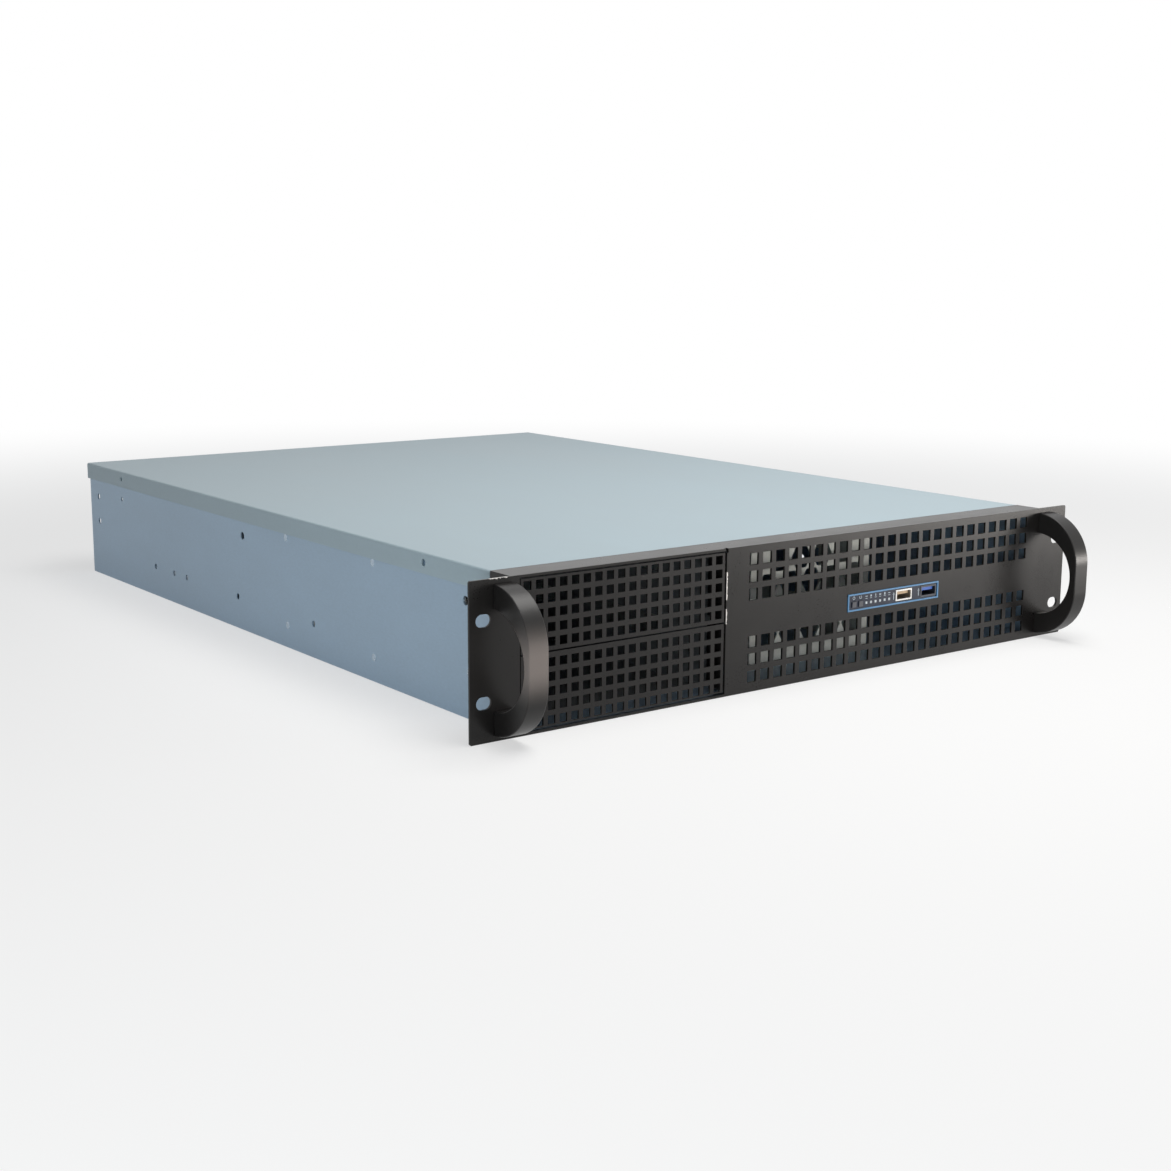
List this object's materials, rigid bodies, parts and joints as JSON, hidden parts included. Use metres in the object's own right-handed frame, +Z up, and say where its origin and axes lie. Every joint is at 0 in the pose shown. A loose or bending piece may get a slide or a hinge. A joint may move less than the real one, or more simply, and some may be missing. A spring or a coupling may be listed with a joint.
{
  "type": "empty rackmount server case",
  "caption": "Low, deep sheet-steel case for a 19-inch rack: black perforated front with ears and bow handles, lift-off cover, drive cages, fan wall and rear openings.",
  "frame": {"origin": "centre of the footprint, on the surface that the case stands on", "axes": "+X to the right seen from the front, +Y from the handles to the back, +Z up"},
  "size_m": [0.4826, 0.6416, 0.0881],
  "materials": {
    "cover_steel": "zinc-coated sheet, satin",
    "case_steel": "zinc-coated sheet, satin",
    "front_paint": "fine matt powder coat",
    "handle_paint": "semi-gloss coat",
    "bezel_plastic": "smooth light blue plastic",
    "fascia_plastic": "smooth dark plastic",
    "light_plastic": "clear light pipes, read as milky",
    "fan_plastic": "moulded plastic",
    "board": "circuit board with solder mask",
    "bracket_steel": "zinc-coated sheet",
    "switch_plastic": "moulded plastic",
    "port_metal": "plated shell",
    "tongue_plain": "moulded plastic",
    "tongue_blue": "moulded plastic",
    "standoff_brass": "turned",
    "screw_metal": "zinc-plated"
  },
  "bodies": {
    "case": {"base_tray": "case_steel", "rear_panel": "case_steel", "optical_drive_cage": "case_steel", "hard_drive_cage": "case_steel", "fan_wall": "case_steel", "psu_bracket": "case_steel", "slot_covers": "case_steel", "front_panel": "front_paint", "upper_bay_cover": "front_paint", "lower_bay_cover": "front_paint", "left_handle": "handle_paint", "right_handle": "handle_paint", "control_bezel": "bezel_plastic", "control_fascia": "fascia_plastic", "status_lights": "light_plastic", "fan_frame_1": "fan_plastic", "fan_frame_2": "fan_plastic", "fan_frame_3": "fan_plastic", "control_board": "board", "control_bracket": "bracket_steel", "push_switches": "switch_plastic", "usb2_shell": "port_metal", "usb3_shell": "port_metal", "usb2_tongue": "tongue_plain", "usb3_tongue": "tongue_blue", "board_standoffs": "standoff_brass", "slot_screws": "screw_metal", "bay_cover_screws": "screw_metal", "drive_cage_screws": "screw_metal", "cover_thumbscrews": "screw_metal", "handle_screws": "screw_metal", "side_rivets": "screw_metal"},
    "cover": {"top_cover": "cover_steel"},
    "power_button": {"power_button": "fascia_plastic"},
    "reset_button": {"reset_button": "fascia_plastic"},
    "fan_rotor_1": {"fan_rotor_1": "fan_plastic"},
    "fan_rotor_2": {"fan_rotor_2": "fan_plastic"},
    "fan_rotor_3": {"fan_rotor_3": "fan_plastic"}
  },
  "joints": [
    {"name": "cover_lift", "type": "slide", "parent": "case", "child": "cover", "axis": [0, 0, 1], "range_m": [0, 0.03]},
    {"name": "power_button_press", "type": "slide", "parent": "case", "child": "power_button", "axis": [0, 1, 0], "range_m": [0, 0.0005], "stiffness_N_per_m": 800, "springref_m": -0.001},
    {"name": "reset_button_press", "type": "slide", "parent": "case", "child": "reset_button", "axis": [0, 1, 0], "range_m": [0, 0.0005], "stiffness_N_per_m": 800, "springref_m": -0.001},
    {"name": "fan_spin_1", "type": "hinge", "parent": "case", "child": "fan_rotor_1", "pos_m": [-0.044, 0.0255, 0.043], "axis": [0, 1, 0], "continuous": true},
    {"name": "fan_spin_2", "type": "hinge", "parent": "case", "child": "fan_rotor_2", "pos_m": [0.056, 0.0255, 0.043], "axis": [0, 1, 0], "continuous": true},
    {"name": "fan_spin_3", "type": "hinge", "parent": "case", "child": "fan_rotor_3", "pos_m": [0.156, 0.0255, 0.043], "axis": [0, 1, 0], "continuous": true}
  ]
}
